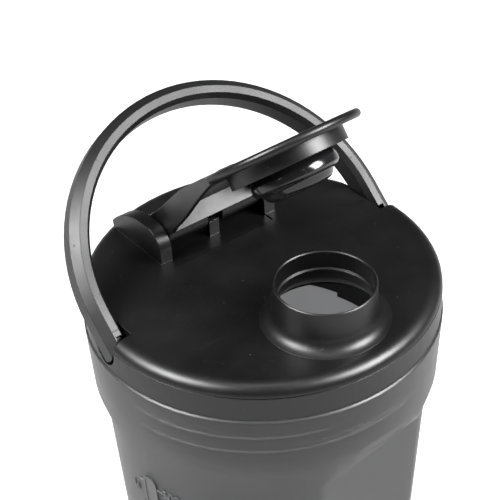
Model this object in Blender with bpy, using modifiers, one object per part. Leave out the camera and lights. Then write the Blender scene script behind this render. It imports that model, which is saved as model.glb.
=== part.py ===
"""A protein shaker bottle: a tapered cup with two grip panels, a screw lid with an open spout,
a hinged flip cap with a soft stopper, a swinging carry handle, a lid seal and a wire whisk ball.

+Z is up. The origin is the middle of the base, on the bottle's axis. The spout is towards -Y, the
hinge of the cap is towards +Y, and both moving axes of the lid's fittings run along X."""

import math

import bmesh
import bpy
from mathutils import Euler, Vector

MM = 0.001
GAP = 0.3 * MM
EMBED = 0.4 * MM

# Cup
CUP_HEIGHT = 141 * MM
BASE_RADIUS = 39.4 * MM
BODY_TOP_RADIUS = 46.4 * MM
BODY_TOP_Z = 110.5 * MM
BAND_LOW_RADIUS = 49.3 * MM
BAND_LOW_Z = 120.9 * MM
RIM_RADIUS = 50.4 * MM
RIM_CHAMFER = 0.5 * MM
BASE_FILLET = 2.0 * MM
CUP_WALL = 2.0 * MM
FLOOR_THICKNESS = 2.4 * MM
BORE_RADIUS = 47.4 * MM
BORE_LOW_Z = 122.5 * MM
PANEL_TOP_DISTANCE = 42.3 * MM
PANEL_TURN = math.radians(6.5)

# Thread between the cup and the lid: right-handed, one start
LEAD = 5.0 * MM
THREAD_TURNS = 1.5
RIDGE_BASE = 2.0 * MM
RIDGE_CREST = 1.2 * MM
MALE_CREST_RADIUS = 46.8 * MM
FEMALE_CREST_RADIUS = 46.0 * MM
MALE_START_Z = 128.6 * MM
THREAD_STEPS = 32

# Lid
LID_RADIUS = 50.0 * MM
LID_LOW_Z = CUP_HEIGHT + 0.4 * MM
LID_SHOULDER_Z = CUP_HEIGHT + 7.8 * MM
LID_TOP_Z = CUP_HEIGHT + 11.2 * MM
LID_TOP_RADIUS = 46.0 * MM
LID_PLATE = 2.4 * MM
SKIRT_RADIUS = 45.6 * MM
SKIRT_INNER_RADIUS = 42.8 * MM
SKIRT_STEP_Z = 126.5 * MM
SKIRT_LOW_RADIUS = 42.1 * MM
SKIRT_LOW_INNER_RADIUS = 40.4 * MM
SKIRT_LOW_Z = 116.1 * MM
SKIRT_TOOTH_Z = 114.4 * MM
SKIRT_TOOTH_HALF = 13.0 * MM
SEAL_GROOVE_RADIUS = 44.4 * MM
SEAL_LOW_Z = 138.2 * MM
SEAL_HEIGHT = 2.2 * MM
SEAL_OUTER_RADIUS = 47.0 * MM
SPOUT_Y = -27.3 * MM
SPOUT_RIM_Z = CUP_HEIGHT + 22.9 * MM
SPOUT_RIM_RADIUS = 13.95 * MM
SPOUT_BORE_RADIUS = 13.2 * MM
SPOUT_THROAT_RADIUS = 12.7 * MM
SPOUT_STEP_Z = CUP_HEIGHT + 17.5 * MM
SPOUT_THROAT_Z = CUP_HEIGHT + 14.8 * MM
SPOUT_FLARE = 4.0 * MM
SPOUT_DRAFT = 0.3 * MM
RECESS_DEPTH = 0.35 * MM
RECESS_FRONT_Y = 16.2 * MM
RECESS_HALF_WIDTH = 16.9 * MM

# Flip cap, drawn closed about its hinge and then opened
HINGE = Vector((0, 25.2 * MM, CUP_HEIGHT + 17.5 * MM))
CAP_OPENING = math.radians(40)
ARM_HALF_WIDTH = 15.9 * MM
ARM_TAPER_START_Y = -7.0 * MM
ARM_WEB = 1.6 * MM
ARM_WALL_Y = -5.0 * MM
ARM_WALL_LOW = -1.9 * MM
ARM_WALL_TOP = 3.3 * MM
ARM_RAMP_END_Y = -22.0 * MM
BARREL_RADIUS = 6.0 * MM
BARREL_LOW_RADIUS = 4.3 * MM
SLOT_TOP = -1.2 * MM
CATCH_SWEEP_INNER = 2.35 * MM
CATCH_SWEEP_OUTER = 9.0 * MM
CATCH_SWEEP_START = 205
CATCH_SWEEP_END = 350
CAP_RADIUS = 22.0 * MM
CAP_UNDERSIDE = SPOUT_RIM_Z + 0.4 * MM - HINGE.z
CAP_THICKNESS = 2.4 * MM
CAP_SKIRT_RADIUS = 16.4 * MM
CAP_SKIRT_INNER_RADIUS = 15.1 * MM
CAP_SKIRT_HEIGHT = 3.8 * MM
CAP_Y = SPOUT_Y - HINGE.y
STEM_RADIUS = 4.0 * MM
STEM_HEAD = 1.5 * MM
STEM_NECK = 3.0 * MM
STEM_LENGTH = 5.0 * MM
PIN_RADIUS = 1.5 * MM

# Ears of the hinge, and the catch between them
EAR_INNER_X = 16.4 * MM
EAR_OUTER_X = 20.3 * MM
EAR_FRONT_Y = 19.5 * MM
EAR_BACK_Y = 41.5 * MM
EAR_TOP_Z = CUP_HEIGHT + 20.9 * MM
CATCH_WIDTH = 3.5 * MM
CATCH_FRONT_Y = 21.7 * MM
CATCH_DEPTH = 1.6 * MM
CATCH_TOP_Z = CUP_HEIGHT + 15.9 * MM

# Carry handle, drawn upright about its pivot and then leant back
HANDLE_LEAN = math.radians(47.7)
HANDLE_BACK_STOP = math.radians(52)
HANDLE_RADIUS = 50.0 * MM
HANDLE_LEG = 7.5 * MM
HANDLE_PIVOT = Vector((0, 5.46 * MM, CUP_HEIGHT + 6.75 * MM))
HANDLE_HALF_WIDTH = 4.55 * MM
HANDLE_CROWN_HALF = 2.4 * MM
HANDLE_BEVEL = 2.4 * MM
HANDLE_FACE = 2.2 * MM
HANDLE_THICKNESS = 5.7 * MM
HANDLE_INNER_HALF = 2.8 * MM
TONGUE_THICKNESS = 2.9 * MM
PIVOT_RADIUS = 2.2 * MM
PIVOT_DEPTH = 2.2 * MM
POCKET_FLOOR_X = 43.9 * MM
POCKET_RADIUS = 5.5 * MM
POCKET_BOSS_RADIUS = 5.0 * MM
POCKET_BOSS_X = 40.0 * MM

# Whisk ball
WHISK_RADIUS = 24.0 * MM
WHISK_WIRE = 2.4 * MM
WHISK_TURNS = 6
WHISK_POINTS_PER_TURN = 18

FINE, COARSE = 72, 40
PARTS, CUTTERS = "shaker_bottle", "cutters"


def clear_scene():
    for obj in list(bpy.data.objects):
        bpy.data.objects.remove(obj, do_unlink=True)


def add_collection(name):
    collection = bpy.data.collections.new(name)
    bpy.context.scene.collection.children.link(collection)
    return collection


def add_object(name, mesh, collection):
    obj = bpy.data.objects.new(name, mesh)
    bpy.data.collections[collection].objects.link(obj)
    if collection == CUTTERS:
        obj.hide_render = True
        obj.display_type = "WIRE"
    return obj


def principled(name, colour, roughness, metallic=0.0):
    material = bpy.data.materials.new(name)
    material.use_nodes = True
    shader = material.node_tree.nodes["Principled BSDF"]
    shader.inputs["Base Color"].default_value = (*colour, 1)
    shader.inputs["Roughness"].default_value = roughness
    shader.inputs["Metallic"].default_value = metallic
    return material


def finish(obj, material):
    obj.data.materials.clear()
    obj.data.materials.append(material)
    obj.data.shade_smooth()
    obj.data.set_sharp_from_angle(angle=math.radians(32))


def evaluated(obj):
    """Replaces the object's data by the mesh that its modifiers or its curve make."""
    bpy.context.view_layer.update()
    graph = bpy.context.evaluated_depsgraph_get()
    mesh = bpy.data.meshes.new_from_object(obj.evaluated_get(graph))
    name, matrix, collection = obj.name, obj.matrix_world.copy(), obj.users_collection[0].name
    bpy.data.objects.remove(obj, do_unlink=True)
    made = bmesh.new()
    made.from_mesh(mesh)
    bmesh.ops.remove_doubles(made, verts=made.verts, dist=1e-6)
    bmesh.ops.recalc_face_normals(made, faces=made.faces)
    made.to_mesh(mesh)
    made.free()
    result = add_object(name, mesh, collection)
    result.matrix_world = matrix
    return result


def turned(name, profile, steps, collection=CUTTERS, closed=False, centre=(0, 0)):
    """A solid of revolution about Z: profile is (radius, height), down the outer side."""
    mesh = bpy.data.meshes.new(name)
    made = bmesh.new()
    points = [made.verts.new((radius, 0, height)) for radius, height in profile]
    pairs = list(zip(points, points[1:]))
    if closed:
        pairs.append((points[-1], points[0]))
    for pair in pairs:
        made.edges.new(pair)
    made.to_mesh(mesh)
    made.free()
    obj = add_object(name, mesh, collection)
    screw = obj.modifiers.new("turn", "SCREW")
    screw.steps = screw.render_steps = steps
    screw.use_merge_vertices = True
    screw.merge_threshold = 1e-5
    obj = evaluated(obj)
    for vertex in obj.data.vertices:
        vertex.co += Vector((*centre, 0))
    obj.data.update()
    return obj


def plate(name, outline, thickness, collection=CUTTERS):
    """A flat outline of (x, y) in the XY plane, thickened equally to both sides of it."""
    curve = bpy.data.curves.new(name, "CURVE")
    curve.dimensions = "2D"
    curve.fill_mode = "BOTH"
    curve.extrude = thickness / 2
    spline = curve.splines.new("POLY")
    spline.points.add(len(outline) - 1)
    for point, (x, y) in zip(spline.points, outline):
        point.co = (x, y, 0, 1)
    spline.use_cyclic_u = True
    return evaluated(add_object(name, curve, collection))


def side_plate(name, outline, x_low, x_high, collection=CUTTERS):
    """A plate whose outline is (y, z), standing across the X axis between x_low and x_high."""
    obj = plate(name, outline, x_high - x_low, collection)
    for vertex in obj.data.vertices:
        along_y, along_z, along_x = vertex.co
        vertex.co = (along_x + (x_low + x_high) / 2, along_y, along_z)
    obj.data.update()
    return obj


def block(name, low, high, collection=CUTTERS):
    mesh = bpy.data.meshes.new(name)
    made = bmesh.new()
    bmesh.ops.create_cube(made, size=1)
    low, high = Vector(low), Vector(high)
    for vertex in made.verts:
        vertex.co = Vector(l + (h - l) * (c + 0.5) for l, h, c in zip(low, high, vertex.co))
    made.to_mesh(mesh)
    made.free()
    return add_object(name, mesh, collection)


def rod(name, radius, x_low, x_high, centre, steps=COARSE, collection=CUTTERS):
    """A cylinder along X; centre is its (y, z)."""
    ring = arc((0, 0), radius, 0, 360 - 360 / steps, steps)
    outline = [(centre[0] + y, centre[1] + z) for y, z in ring]
    return side_plate(name, outline, x_low, x_high, collection)


def arc(centre, radius, start, end, count):
    """Points on a circle, from one angle in degrees to another, both included."""
    angles = [math.radians(start + (end - start) * i / (count - 1)) for i in range(count)]
    return [(centre[0] + radius * math.cos(a), centre[1] + radius * math.sin(a)) for a in angles]


def combine(obj, other, operation):
    modifier = obj.modifiers.new(f"{operation.lower()} {other.name}", "BOOLEAN")
    modifier.operation = operation
    modifier.object = other
    modifier.solver = "EXACT"


def thread_ridge(name, root, crest, start_z, turns):
    """A helical ridge of trapezoid section from the radius root to the radius crest."""
    mesh = bpy.data.meshes.new(name)
    made = bmesh.new()
    section = [
        made.verts.new((radius, 0, start_z + height))
        for radius, height in (
            (root, -RIDGE_BASE / 2),
            (crest, -RIDGE_CREST / 2),
            (crest, RIDGE_CREST / 2),
            (root, RIDGE_BASE / 2),
        )
    ]
    face = made.faces.new(section)
    steps = round(THREAD_STEPS * turns)
    bmesh.ops.spin(
        made,
        geom=[face, *face.edges, *face.verts],
        axis=(0, 0, 1),
        cent=(0, 0, 0),
        dvec=(0, 0, LEAD * turns / steps),
        angle=2 * math.pi * turns,
        steps=steps,
    )
    bmesh.ops.recalc_face_normals(made, faces=made.faces)
    made.to_mesh(mesh)
    made.free()
    return add_object(name, mesh, CUTTERS)


def body_radius(height):
    return BASE_RADIUS + (BODY_TOP_RADIUS - BASE_RADIUS) * height / BODY_TOP_Z


def panel_cutters(name, inset):
    """Two wedges that flatten the front and the back of the body, each with a slanted top."""
    slant = (BAND_LOW_RADIUS - PANEL_TOP_DISTANCE, BAND_LOW_Z - BODY_TOP_Z)
    top = PANEL_TOP_DISTANCE - inset
    low = top - (BODY_TOP_RADIUS - BASE_RADIUS) * (1 + 10 * MM / BODY_TOP_Z)
    outline = [
        (top, BODY_TOP_Z),
        (top + 1.4 * slant[0], BODY_TOP_Z + 1.4 * slant[1]),
        (top + 3 * slant[0], BODY_TOP_Z + 1.4 * slant[1]),
        (top + 3 * slant[0], -10 * MM),
        (low, -10 * MM),
    ]
    cutters = []
    for number, turn in enumerate((-math.pi / 2, math.pi / 2)):
        cutter = side_plate(f"{name}_{number}", outline, -60 * MM, 60 * MM)
        cutter.rotation_euler.z = turn - math.pi / 2 + PANEL_TURN
        cutters.append(cutter)
    return cutters


def make_cup(material):
    fillet = arc((BASE_RADIUS - BASE_FILLET, BASE_FILLET), BASE_FILLET, 0, -90, 5)
    outer = [(0, CUP_HEIGHT), (RIM_RADIUS - RIM_CHAMFER, CUP_HEIGHT)]
    outer += [(RIM_RADIUS, CUP_HEIGHT - RIM_CHAMFER), (BAND_LOW_RADIUS, BAND_LOW_Z)]
    outer += [(BODY_TOP_RADIUS, BODY_TOP_Z), *fillet, (0, 0)]
    cup = turned("cup", outer, FINE, PARTS)
    for cutter in panel_cutters("outer_panel", 0):
        combine(cup, cutter, "DIFFERENCE")
    top = CUP_HEIGHT + 5 * MM
    wall = CUP_WALL
    inner = [(0, top), (BORE_RADIUS, top), (BORE_RADIUS, BORE_LOW_Z)]
    inner += [(BODY_TOP_RADIUS - wall, BODY_TOP_Z)]
    inner += [(body_radius(FLOOR_THICKNESS + 3 * MM) - wall, FLOOR_THICKNESS + 3 * MM)]
    inner += [(body_radius(0) - wall - 3 * MM, FLOOR_THICKNESS), (0, FLOOR_THICKNESS)]
    hollow = turned("cup_hollow", inner, FINE)
    for cutter in panel_cutters("inner_panel", wall):
        combine(hollow, cutter, "DIFFERENCE")
    ridge = thread_ridge(
        "cup_thread", BORE_RADIUS + EMBED, FEMALE_CREST_RADIUS, MALE_START_Z - LEAD / 2, THREAD_TURNS + 0.2
    )
    combine(cup, evaluated(hollow), "DIFFERENCE")
    combine(cup, ridge, "UNION")
    cup = evaluated(cup)
    finish(cup, material)
    return cup


def ear_outline():
    """The shark-fin shape of an ear: a steep round front and a long slope to the back."""
    base = LID_TOP_Z - 1.2 * MM
    nose = arc((EAR_FRONT_Y + 7 * MM, EAR_TOP_Z - 6.4 * MM), 6.4 * MM, 175, 90, 8)
    front = [(y - 0.6 * MM, z) for y, z in nose]
    slope = arc((27.5 * MM, EAR_TOP_Z - 21 * MM), 21 * MM, 84, 40, 9)
    return [(EAR_FRONT_Y, base), *front, *slope, (EAR_BACK_Y + 1.5 * MM, base)]


def pocket_outline():
    """The recess that holds a leg of the handle: round below, open upwards for its swing."""
    centre = (HANDLE_PIVOT.y, HANDLE_PIVOT.z)
    lean = math.degrees(HANDLE_BACK_STOP)
    round_end = arc(centre, POCKET_RADIUS, -lean, -180, 14)
    reach = 30 * MM
    back = (
        round_end[0][0] + reach * math.sin(HANDLE_BACK_STOP),
        round_end[0][1] + reach * math.cos(HANDLE_BACK_STOP),
    )
    return [back, *round_end, (round_end[-1][0], back[1])]


def lid_shell():
    shoulder = arc((LID_TOP_RADIUS, LID_SHOULDER_Z), 1.0, 90, 0, 7)
    wide, tall = LID_RADIUS - LID_TOP_RADIUS, LID_TOP_Z - LID_SHOULDER_Z
    rounded = [
        (LID_TOP_RADIUS + (x - LID_TOP_RADIUS) * wide, LID_SHOULDER_Z + (z - LID_SHOULDER_Z) * tall)
        for x, z in shoulder
    ]
    seal_top = SEAL_LOW_Z + SEAL_HEIGHT + 2 * GAP
    groove = [(SKIRT_RADIUS, seal_top), (SEAL_GROOVE_RADIUS, seal_top)]
    groove += [(SEAL_GROOVE_RADIUS, SEAL_LOW_Z), (SKIRT_RADIUS, SEAL_LOW_Z)]
    outer = [(0, LID_TOP_Z), *rounded, (LID_RADIUS, LID_LOW_Z), (SKIRT_RADIUS, LID_LOW_Z), *groove]
    outer += [(SKIRT_RADIUS, SKIRT_STEP_Z), (SKIRT_LOW_RADIUS, SKIRT_STEP_Z - 2 * MM)]
    outer += [(SKIRT_LOW_RADIUS, SKIRT_LOW_Z), (SKIRT_LOW_INNER_RADIUS, SKIRT_LOW_Z)]
    outer += [(SKIRT_LOW_INNER_RADIUS, SKIRT_STEP_Z - 2 * MM), (SKIRT_INNER_RADIUS, SKIRT_STEP_Z)]
    inner = [(SKIRT_INNER_RADIUS, LID_TOP_Z - LID_PLATE - 2 * MM)]
    inner += [(SKIRT_INNER_RADIUS - 2 * MM, LID_TOP_Z - LID_PLATE), (0, LID_TOP_Z - LID_PLATE)]
    return turned("lid", outer + inner, FINE, PARTS)


def skirt_tooth():
    """A short stretch of the skirt that hangs a little lower than the rest."""
    radii = (SKIRT_LOW_INNER_RADIUS + 0.2 * MM, SKIRT_LOW_RADIUS - 0.2 * MM)
    low, high = SKIRT_TOOTH_Z, SKIRT_LOW_Z + 1 * MM
    profile = [(radii[0], high), (radii[1], high), (radii[1], low), (radii[0], low)]
    tooth = turned("skirt_tooth", profile, FINE, closed=True)
    keep = block("tooth_end", (0, -SKIRT_TOOTH_HALF, 0), (60 * MM, SKIRT_TOOTH_HALF, 160 * MM))
    combine(tooth, keep, "INTERSECT")
    return evaluated(tooth)


def spout_tube():
    """The spout, of nearly even wall: its foot flares out above the lid and below it."""
    foot = SPOUT_RIM_RADIUS + SPOUT_DRAFT
    flare = arc((foot + SPOUT_FLARE, LID_TOP_Z + SPOUT_FLARE), SPOUT_FLARE, 180, 262, 6)
    end, soft = flare[-1][0], 0.3 * MM
    low = LID_TOP_Z - LID_PLATE
    profile = [(SPOUT_BORE_RADIUS, SPOUT_RIM_Z - soft), (SPOUT_BORE_RADIUS + soft, SPOUT_RIM_Z)]
    profile += [(SPOUT_RIM_RADIUS - soft, SPOUT_RIM_Z), (SPOUT_RIM_RADIUS, SPOUT_RIM_Z - soft)]
    profile += [*flare, (end, low + 1.2 * MM), (end, low - 0.2 * MM), (end - 0.6 * MM, low + 0.6 * MM)]
    profile += [(SPOUT_THROAT_RADIUS + 2.8 * MM, low + 2.0 * MM)]
    profile += [(SPOUT_THROAT_RADIUS + 1.5 * MM, low + 3.6 * MM)]
    profile += [(SPOUT_THROAT_RADIUS + 0.6 * MM, low + 4.9 * MM), (SPOUT_THROAT_RADIUS, SPOUT_THROAT_Z)]
    profile += [(SPOUT_THROAT_RADIUS, SPOUT_STEP_Z - 0.3 * MM), (SPOUT_BORE_RADIUS, SPOUT_STEP_Z)]
    return turned("spout", profile, COARSE, closed=True, centre=(0, SPOUT_Y))


def make_lid(material):
    lid = lid_shell()
    combine(lid, skirt_tooth(), "UNION")
    recess_low = (-RECESS_HALF_WIDTH, RECESS_FRONT_Y, LID_TOP_Z - RECESS_DEPTH)
    recess_high = (RECESS_HALF_WIDTH, EAR_BACK_Y, LID_TOP_Z + 1 * MM)
    combine(lid, block("recess", recess_low, recess_high), "DIFFERENCE")
    for side in (-1, 1):
        edges = sorted((side * EAR_INNER_X, side * EAR_OUTER_X))
        combine(lid, side_plate(f"ear_{side}", ear_outline(), *edges), "UNION")
        boss = sorted((side * POCKET_BOSS_X, side * (POCKET_FLOOR_X + 1 * MM)))
        centre = (HANDLE_PIVOT.y, HANDLE_PIVOT.z - 1.5 * MM)
        combine(lid, rod(f"pocket_boss_{side}", POCKET_BOSS_RADIUS, *boss, centre, 20), "UNION")
    catch_low = (-CATCH_WIDTH / 2, CATCH_FRONT_Y, LID_TOP_Z - 1 * MM)
    catch_high = (CATCH_WIDTH / 2, CATCH_FRONT_Y + CATCH_DEPTH, CATCH_TOP_Z)
    combine(lid, block("catch", catch_low, catch_high), "UNION")
    hole = SPOUT_RIM_RADIUS + 3.1 * MM
    bore = [(0, 180 * MM), (hole, 180 * MM), (hole, 140 * MM), (0, 140 * MM)]
    combine(lid, turned("spout_hole", bore, COARSE + 3, centre=(0, SPOUT_Y)), "DIFFERENCE")
    combine(lid, spout_tube(), "UNION")
    ridge = thread_ridge(
        "lid_thread", SKIRT_RADIUS - EMBED, MALE_CREST_RADIUS, MALE_START_Z, THREAD_TURNS
    )
    combine(lid, ridge, "UNION")
    pivot = (HANDLE_PIVOT.y, HANDLE_PIVOT.z)
    hole = PIVOT_RADIUS + GAP
    for side in (-1, 1):
        recess = sorted((side * POCKET_FLOOR_X, side * 56 * MM))
        combine(lid, side_plate(f"pocket_{side}", pocket_outline(), *recess), "DIFFERENCE")
        drilled = sorted((side * (POCKET_FLOOR_X - PIVOT_DEPTH - 2 * GAP), side * (POCKET_FLOOR_X + 1 * MM)))
        combine(lid, rod(f"pivot_hole_{side}", hole, *drilled, pivot, 24), "DIFFERENCE")
    pin_seat = rod(
        "pin_seat", PIN_RADIUS + GAP, -EAR_OUTER_X + 1.2 * MM, 30 * MM, (HINGE.y, HINGE.z), 24
    )
    combine(lid, pin_seat, "DIFFERENCE")
    lid = evaluated(lid)
    finish(lid, material)
    return lid


def make_seal(material):
    """The silicone ring in the groove of the lid's skirt, with a lip that bears on the cup."""
    low, high = SEAL_LOW_Z + GAP, SEAL_LOW_Z + GAP + SEAL_HEIGHT
    inner, outer = SEAL_GROOVE_RADIUS + GAP, SEAL_OUTER_RADIUS
    middle = (low + high) / 2
    profile = [(inner, high), (outer - 0.8 * MM, high), (outer, middle + 0.5 * MM)]
    profile += [(outer, middle - 0.5 * MM), (outer - 0.8 * MM, low), (inner, low)]
    seal = turned("lid_seal", profile, FINE, PARTS, closed=True)
    finish(seal, material)
    return seal


def handle_section(radius_of_leg):
    """Corners of the handle's section as (x, y): crowned outside, bevelled inside."""
    crown, half = radius_of_leg, HANDLE_HALF_WIDTH
    face_in = crown - HANDLE_BEVEL - HANDLE_FACE
    outer = [(crown, HANDLE_CROWN_HALF), (crown - HANDLE_BEVEL, half), (face_in, half)]
    outer += [(crown - HANDLE_THICKNESS, HANDLE_INNER_HALF)]
    return outer + [(x, -y) for x, y in reversed(outer)]


def handle_bow(name):
    """The bow: the section is drawn up one leg, spun over the top and drawn down the other."""
    mesh = bpy.data.meshes.new(name)
    made = bmesh.new()
    foot = 0.2 * MM
    section = [made.verts.new((x, y, foot)) for x, y in handle_section(HANDLE_RADIUS)]
    face = made.faces.new(section)
    lift = Vector((0, 0, HANDLE_LEG - foot))
    raised = bmesh.ops.extrude_face_region(made, geom=[face])["geom"]
    bmesh.ops.translate(made, vec=lift, verts=[v for v in raised if isinstance(v, bmesh.types.BMVert)])
    top = [f for f in raised if isinstance(f, bmesh.types.BMFace)]
    spun = bmesh.ops.spin(
        made,
        geom=top + [e for e in top[0].edges] + [v for v in top[0].verts],
        axis=(0, -1, 0),
        cent=(0, 0, HANDLE_LEG),
        angle=math.pi,
        steps=44,
    )["geom_last"]
    end = [f for f in spun if isinstance(f, bmesh.types.BMFace)]
    lowered = bmesh.ops.extrude_face_region(made, geom=end)["geom"]
    bmesh.ops.translate(made, vec=-lift, verts=[v for v in lowered if isinstance(v, bmesh.types.BMVert)])
    made.faces.ensure_lookup_table()
    inside = [f for f in made.faces if len(f.verts) == len(section) and abs(f.normal.z) > 0.99]
    bmesh.ops.delete(
        made, geom=[f for f in inside if abs(f.calc_center_median().z - foot) > 1e-6], context="FACES_ONLY"
    )
    bmesh.ops.remove_doubles(made, verts=made.verts, dist=1e-6)
    bmesh.ops.recalc_face_normals(made, faces=made.faces)
    made.to_mesh(mesh)
    made.free()
    return add_object(name, mesh, PARTS)


def make_handle(material):
    handle = handle_bow("handle")
    half, crown = HANDLE_HALF_WIDTH, HANDLE_RADIUS
    back, shoulder = crown - TONGUE_THICKNESS, crown - HANDLE_BEVEL
    rounded = [*arc((0, 0), half + 0.05 * MM, 180, 360, 17), (half, 1.5 * MM), (-half, 1.5 * MM)]
    for side in (-1, 1):
        across = [(back, half + 1 * MM), (shoulder, half + 1 * MM), (shoulder, half)]
        across += [(crown, HANDLE_CROWN_HALF)]
        outline = [(side * x, y) for x, y in across] + [(side * x, -y) for x, y in reversed(across)]
        tongue = side_plate(f"tongue_{side}", rounded, *sorted((side * back, side * (crown + 1 * MM))))
        combine(tongue, plate(f"tongue_section_{side}", outline, 40 * MM), "INTERSECT")
        combine(handle, evaluated(tongue), "UNION")
        boss = sorted((side * (POCKET_FLOOR_X - PIVOT_DEPTH), side * (back + EMBED)))
        combine(handle, rod(f"pivot_boss_{side}", PIVOT_RADIUS, *boss, (0, 0), 24), "UNION")
    handle = evaluated(handle)
    handle.location = HANDLE_PIVOT
    handle.rotation_euler = Euler((-HANDLE_LEAN, 0, 0))
    finish(handle, material)
    return handle


def arm_outline():
    """The side of the arm, from the barrel round the pin to the round cap."""
    top = CAP_UNDERSIDE + CAP_THICKNESS + 0.15 * MM
    barrel = arc((0, 0), BARREL_RADIUS, 60, -45, 9)
    barrel += arc((0, 0), BARREL_LOW_RADIUS, -60, -140, 7)
    lower = [(-3.8 * MM, ARM_WALL_LOW), (ARM_WALL_Y, ARM_WALL_LOW), (-8.5 * MM, -0.9 * MM)]
    lower += [(-14 * MM, -0.2 * MM), (-19.3 * MM, 0.65 * MM), (-24 * MM, 1.5 * MM)]
    lower += [(-30 * MM, 2.7 * MM), (-37 * MM, 4.0 * MM), (-43 * MM, 5.0 * MM), (-49 * MM, 5.9 * MM)]
    return [(-49 * MM, top - 0.6 * MM), (-44 * MM, top), (-27 * MM, top - 0.1 * MM), *barrel, *lower]


def arm_plan(inset):
    """The arm from above: straight at the hinge, then widening until it touches the round cap."""
    half = ARM_HALF_WIDTH - inset
    radius = CAP_RADIUS - inset
    run = ARM_TAPER_START_Y - CAP_Y
    spread = math.asin((radius * run - half * math.sqrt(run**2 + half**2 - radius**2)) / (run**2 + half**2))
    touch = (radius * math.cos(spread), CAP_Y + radius * math.sin(spread))
    right = [(half, 12 * MM), (half, ARM_TAPER_START_Y), touch]
    return right + [(-x, y) for x, y in reversed(right)]


def arm_well():
    """The hollow under the arm: a wall near the hinge, then a ramp up to the cap's underside."""
    roof = CAP_UNDERSIDE - 0.3 * MM
    side = [(ARM_WALL_Y, -12 * MM), (ARM_WALL_Y, ARM_WALL_TOP), (ARM_RAMP_END_Y, roof)]
    side += [(-60 * MM, roof), (-60 * MM, -12 * MM)]
    well = side_plate("arm_well", side, -30 * MM, 30 * MM)
    plan = plate("well_plan", arm_plan(ARM_WEB), 60 * MM)
    combine(well, plan, "INTERSECT")
    return evaluated(well)


def make_flip_cap(material):
    """Drawn closed, with the hinge's axis through the origin, then opened."""
    cap = side_plate("flip_cap", arm_outline(), -30 * MM, 30 * MM, PARTS)
    under = CAP_UNDERSIDE
    combine(cap, plate("arm_plan", arm_plan(0), 80 * MM), "INTERSECT")
    combine(cap, arm_well(), "DIFFERENCE")
    slot_half = CATCH_WIDTH / 2 + 0.8 * MM
    slot_low = (-slot_half, ARM_WALL_Y + 1.2 * MM, -9 * MM)
    slot_high = (slot_half, 3 * MM, SLOT_TOP)
    combine(cap, block("catch_slot", slot_low, slot_high), "DIFFERENCE")
    sweep = arc((0, 0), CATCH_SWEEP_INNER, CATCH_SWEEP_START, CATCH_SWEEP_END, 13)
    sweep += arc((0, 0), CATCH_SWEEP_OUTER, CATCH_SWEEP_END, CATCH_SWEEP_START, 13)
    combine(cap, side_plate("catch_sweep", sweep, -slot_half, slot_half), "DIFFERENCE")
    lip = arc((CAP_RADIUS - CAP_THICKNESS / 2, under + CAP_THICKNESS / 2), CAP_THICKNESS / 2, 90, -90, 7)
    low = under - CAP_SKIRT_HEIGHT
    head = STEM_RADIUS + STEM_HEAD
    profile = [(0, under + CAP_THICKNESS), *lip, (CAP_SKIRT_RADIUS, under), (CAP_SKIRT_RADIUS, low)]
    profile += [(CAP_SKIRT_INNER_RADIUS, low), (CAP_SKIRT_INNER_RADIUS, under)]
    profile += [(STEM_RADIUS, under), (STEM_RADIUS, under - STEM_NECK), (head, under - STEM_NECK)]
    profile += [(head, under - STEM_LENGTH), (0, under - STEM_LENGTH)]
    combine(cap, turned("cap_disc", profile, 56, centre=(0, CAP_Y)), "UNION")
    drilled = rod("arm_bore", PIN_RADIUS + GAP, -30 * MM, 30 * MM, (0, 0), 24)
    combine(cap, drilled, "DIFFERENCE")
    cap = evaluated(cap)
    cap.location = HINGE
    cap.rotation_euler = Euler((-CAP_OPENING, 0, 0))
    finish(cap, material)
    return cap


def make_stopper(material):
    """The soft plug, snapped over the stem of the cap: a neck, a sealing bulge and a dished end."""
    top = CAP_UNDERSIDE - GAP
    narrow, wide = STEM_RADIUS + GAP, STEM_RADIUS + STEM_HEAD + GAP
    shelf, end = CAP_UNDERSIDE - STEM_NECK + GAP, CAP_UNDERSIDE - STEM_LENGTH - GAP
    hollow = [(narrow, top), (narrow, shelf), (wide, shelf), (wide, end), (0, end)]
    outer = [(11.0 * MM, top), (10.95 * MM, top - 3.5 * MM), (11.6 * MM, top - 4.2 * MM)]
    outer += [(12.05 * MM, top - 5.1 * MM), (12.2 * MM, top - 6.1 * MM), (12.1 * MM, top - 7.1 * MM)]
    outer += [(11.5 * MM, top - 7.8 * MM), (10.3 * MM, top - 8.2 * MM), (9.8 * MM, top - 8.6 * MM)]
    outer += [(9.3 * MM, top - 9.6 * MM), (8.4 * MM, top - 10.4 * MM), (7.0 * MM, top - 10.8 * MM)]
    outer += [(6.0 * MM, top - 10.6 * MM), (4.6 * MM, top - 10.0 * MM), (0, top - 9.2 * MM)]
    profile = list(reversed(hollow)) + outer
    stopper = turned("stopper", profile, COARSE, PARTS, centre=(0, CAP_Y))
    stopper.location = HINGE
    stopper.rotation_euler = Euler((-CAP_OPENING, 0, 0))
    finish(stopper, material)
    return stopper


def make_hinge_pin(material):
    start, end = -EAR_OUTER_X + 1.2 * MM + GAP, EAR_OUTER_X - GAP
    pin = rod("hinge_pin", PIN_RADIUS, start, end, (0, 0), 24, PARTS)
    pin.location = HINGE
    finish(pin, material)
    return pin


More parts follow.
